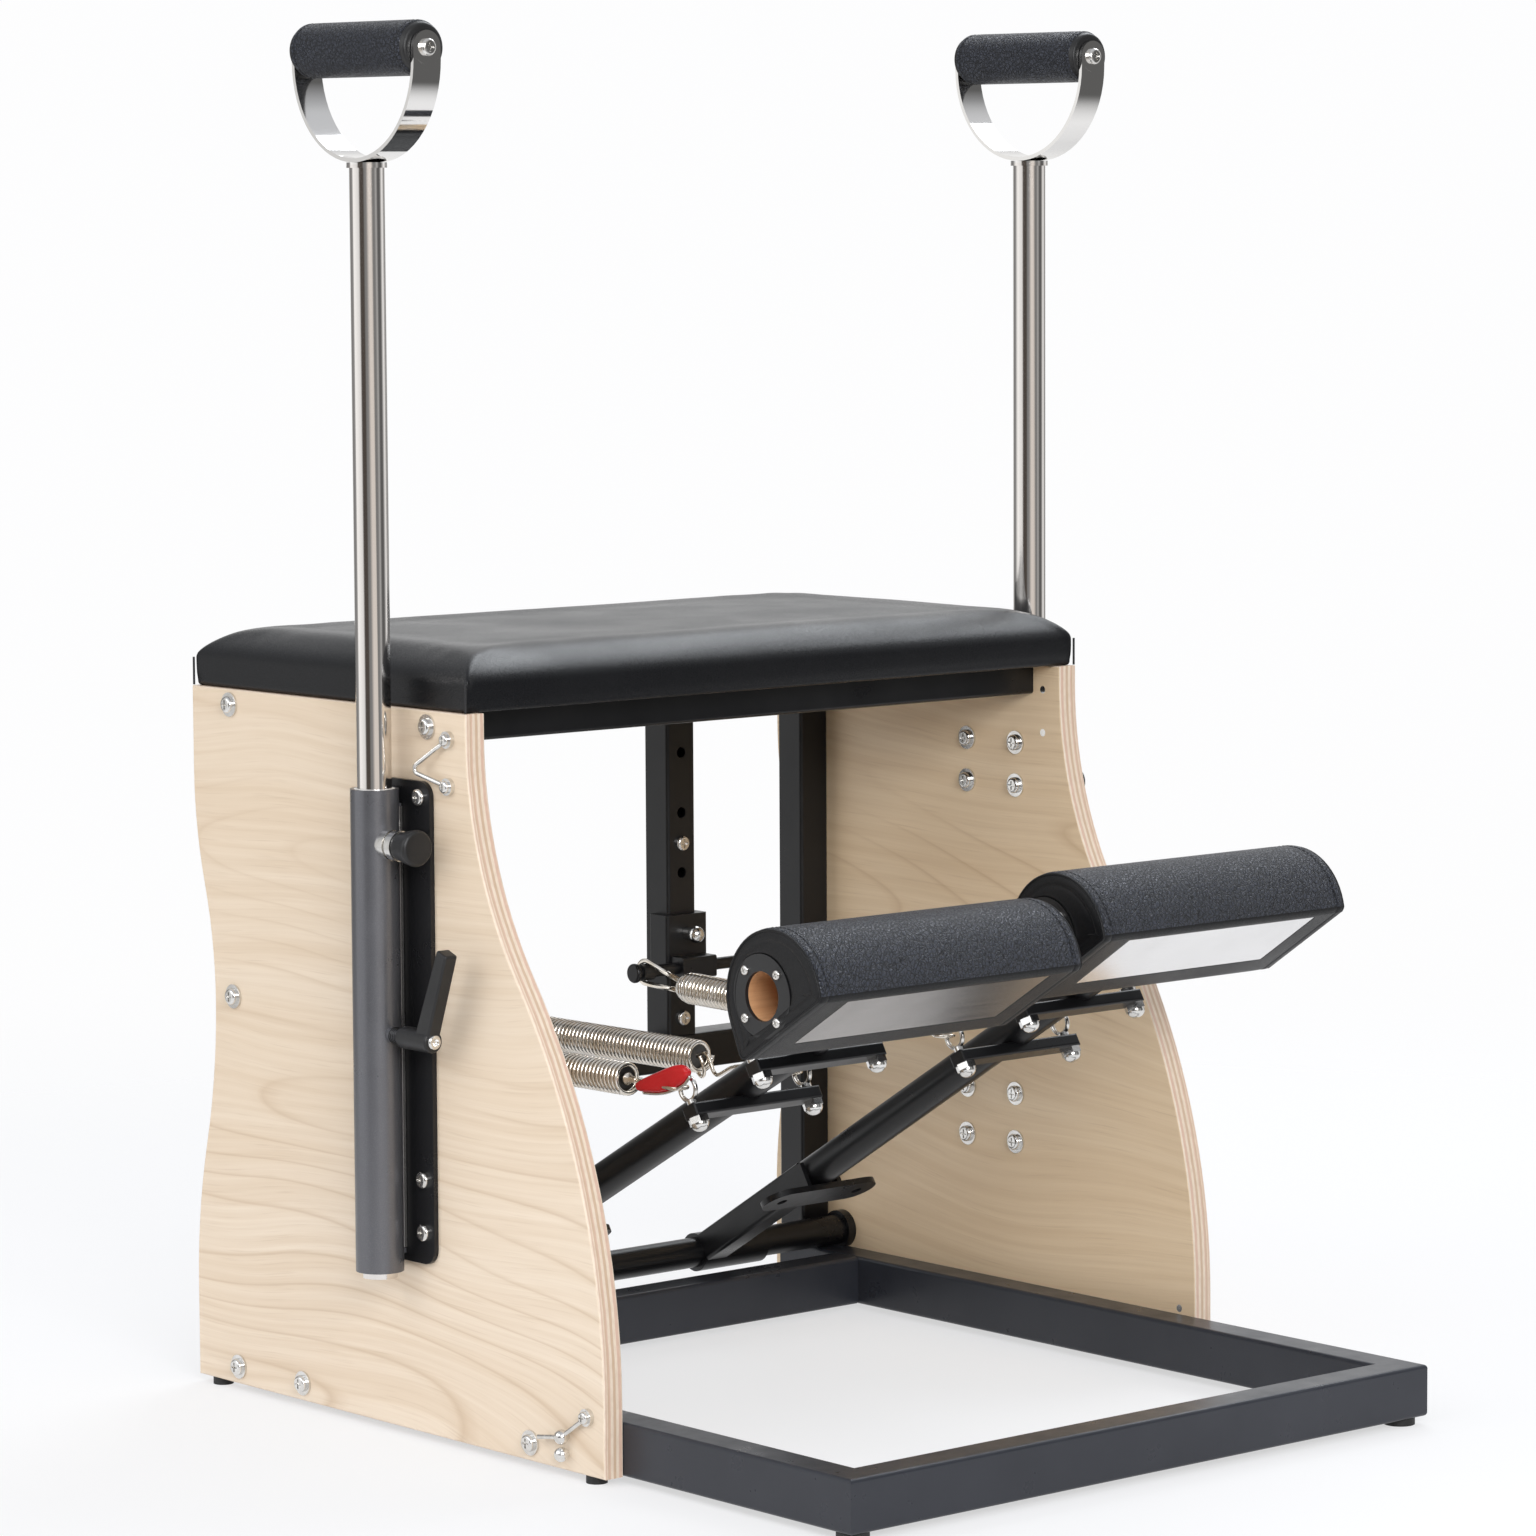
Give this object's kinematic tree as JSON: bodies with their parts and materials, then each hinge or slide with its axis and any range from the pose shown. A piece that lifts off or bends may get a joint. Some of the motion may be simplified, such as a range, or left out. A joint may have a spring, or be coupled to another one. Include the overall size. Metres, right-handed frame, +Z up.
{
  "type": "pilates chair",
  "caption": "Padded exercise chair with plywood sides, a sprung split pedal on a tubular steel frame, and tall height-adjustable push handles.",
  "frame": {"origin": "on the floor, at the middle of the chair's footprint", "axes": "+X to the right-hand handle, -Y to the front where the pedals are, +Z up"},
  "size_m": [0.7126, 0.76, 1.0645],
  "materials": {
    "plywood": "clear satin lacquer on birch plywood",
    "black_steel": "black satin powder coat",
    "grey_steel": "graphite powder coat",
    "stainless": "brushed tube with a polished bow",
    "zinc": "bright plated",
    "spring_steel": "nickel-plated wire",
    "aluminium": "satin sheet",
    "seat_vinyl": "smooth satin vinyl",
    "pedal_vinyl": "pebbled leatherette",
    "black_plastic": "satin moulding",
    "red_plastic": "glossy moulding",
    "white_nylon": "plain nylon",
    "core_wood": "bare turned wood",
    "rubber": "moulded"
  },
  "bodies": {
    "frame": {"left_side_panel": "plywood", "right_side_panel": "plywood", "panel_bolts": "zinc", "strap_hooks": "zinc", "base_front_rail": "black_steel", "base_side_rails": "black_steel", "base_rear_rail": "black_steel", "rear_posts": "black_steel", "rear_cross_bar": "black_steel", "spring_posts": "black_steel", "post_screws": "zinc", "rubber_feet": "rubber", "seat_rails": "black_steel", "seat_board": "plywood", "seat_cushion": "seat_vinyl", "pedal_axle": "black_steel", "left_handle_socket": "grey_steel", "right_handle_socket": "grey_steel", "socket_bolts": "zinc", "socket_bushes": "white_nylon", "plunger_collars": "zinc", "left_carriage": "black_steel", "right_carriage": "black_steel"},
    "left_pedal": {"left_pedal_arm": "black_steel", "left_spring_bars": "black_steel", "left_pedal_pad": "pedal_vinyl", "left_pedal_plate": "aluminium", "left_pedal_core": "core_wood", "left_pedal_end_discs": "black_plastic", "left_pedal_fasteners": "zinc"},
    "right_pedal": {"right_pedal_arm": "black_steel", "right_spring_bars": "black_steel", "right_pedal_pad": "pedal_vinyl", "right_pedal_plate": "aluminium", "right_pedal_core": "core_wood", "right_pedal_end_discs": "black_plastic", "right_pedal_fasteners": "zinc"},
    "left_handle": {"left_handle_stem": "stainless", "left_handle_grip": "pedal_vinyl", "left_handle_screws": "zinc"},
    "right_handle": {"right_handle_stem": "stainless", "right_handle_grip": "pedal_vinyl", "right_handle_screws": "zinc"},
    "left_pull_pin": {"left_handle_pin": "black_plastic"},
    "right_pull_pin": {"right_handle_pin": "black_plastic"},
    "left_clamp": {"left_clamp_lever": "black_plastic"},
    "right_clamp": {"right_clamp_lever": "black_plastic"},
    "left_lock_pin": {"left_carriage_pin": "zinc"},
    "right_lock_pin": {"right_carriage_pin": "zinc"},
    "left_spring_set": {"left_spring_rollers": "black_plastic", "left_spring_links": "spring_steel", "left_spring_coils": "spring_steel"},
    "right_spring_set": {"right_spring_rollers": "black_plastic", "right_spring_links": "spring_steel", "right_spring_coils": "spring_steel"},
    "left_plug_set": {"left_spring_plugs": "spring_steel", "left_spring_hooks": "spring_steel", "left_spring_clip": "red_plastic"},
    "right_plug_set": {"right_spring_plugs": "spring_steel", "right_spring_hooks": "spring_steel"}
  },
  "joints": [
    {"name": "left_pedal_press", "type": "hinge", "parent": "frame", "child": "left_pedal", "pos_m": [0, 0.292, 0.06], "axis": [1, 0, 0], "range_deg": [0, 24], "stiffness_Nm_per_rad": 60, "springref_deg": -34.38},
    {"name": "right_pedal_press", "type": "hinge", "parent": "frame", "child": "right_pedal", "pos_m": [0, 0.292, 0.06], "axis": [1, 0, 0], "range_deg": [0, 24], "stiffness_Nm_per_rad": 60, "springref_deg": -34.38},
    {"name": "left_handle_slide", "type": "slide", "parent": "frame", "child": "left_handle", "axis": [0, 0, 1], "range_m": [0, 0.2]},
    {"name": "right_handle_slide", "type": "slide", "parent": "frame", "child": "right_handle", "axis": [0, 0, 1], "range_m": [0, 0.2]},
    {"name": "left_pin_pull", "type": "slide", "parent": "frame", "child": "left_pull_pin", "axis": [0, -1, 0], "range_m": [0, 0.008], "stiffness_N_per_m": 400, "springref_m": -0.008},
    {"name": "right_pin_pull", "type": "slide", "parent": "frame", "child": "right_pull_pin", "axis": [0, -1, 0], "range_m": [0, 0.008], "stiffness_N_per_m": 400, "springref_m": -0.008},
    {"name": "left_clamp_turn", "type": "hinge", "parent": "frame", "child": "left_clamp", "pos_m": [-0.3358, 0.1065, 0.312], "axis": [0, -1, 0], "range_deg": [0, 75]},
    {"name": "right_clamp_turn", "type": "hinge", "parent": "frame", "child": "right_clamp", "pos_m": [0.3358, 0.1065, 0.312], "axis": [0, 1, 0], "range_deg": [0, 75]},
    {"name": "left_lock_pull", "type": "slide", "parent": "frame", "child": "left_lock_pin", "axis": [0, -1, 0], "range_m": [0, 0.008], "stiffness_N_per_m": 400, "springref_m": -0.008},
    {"name": "right_lock_pull", "type": "slide", "parent": "frame", "child": "right_lock_pin", "axis": [0, -1, 0], "range_m": [0, 0.008], "stiffness_N_per_m": 400, "springref_m": -0.008},
    {"name": "left_spring_swing", "type": "hinge", "parent": "frame", "child": "left_spring_set", "pos_m": [0, 0.296, 0.299], "axis": [1, 0, 0], "range_deg": [0, 21.5]},
    {"name": "right_spring_swing", "type": "hinge", "parent": "frame", "child": "right_spring_set", "pos_m": [0, 0.296, 0.299], "axis": [1, 0, 0], "range_deg": [0, 21.2]},
    {"name": "left_spring_stretch", "type": "slide", "parent": "left_spring_set", "child": "left_plug_set", "axis": [0, -1, 0.0083], "range_m": [0, 0.1065], "deforming": ["left_spring_coils"]},
    {"name": "right_spring_stretch", "type": "slide", "parent": "right_spring_set", "child": "right_plug_set", "axis": [0, -0.9999, -0.0157], "range_m": [0, 0.1065], "deforming": ["right_spring_coils"]}
  ],
  "couplings": [
    {"joint": "left_spring_swing", "follows": "left_pedal_press", "ratio": 0.8884},
    {"joint": "right_spring_swing", "follows": "right_pedal_press", "ratio": 0.8738},
    {"joint": "left_spring_stretch", "follows": "left_pedal_press", "m_per_rad": 0.2515},
    {"joint": "right_spring_stretch", "follows": "right_pedal_press", "m_per_rad": 0.2524}
  ]
}
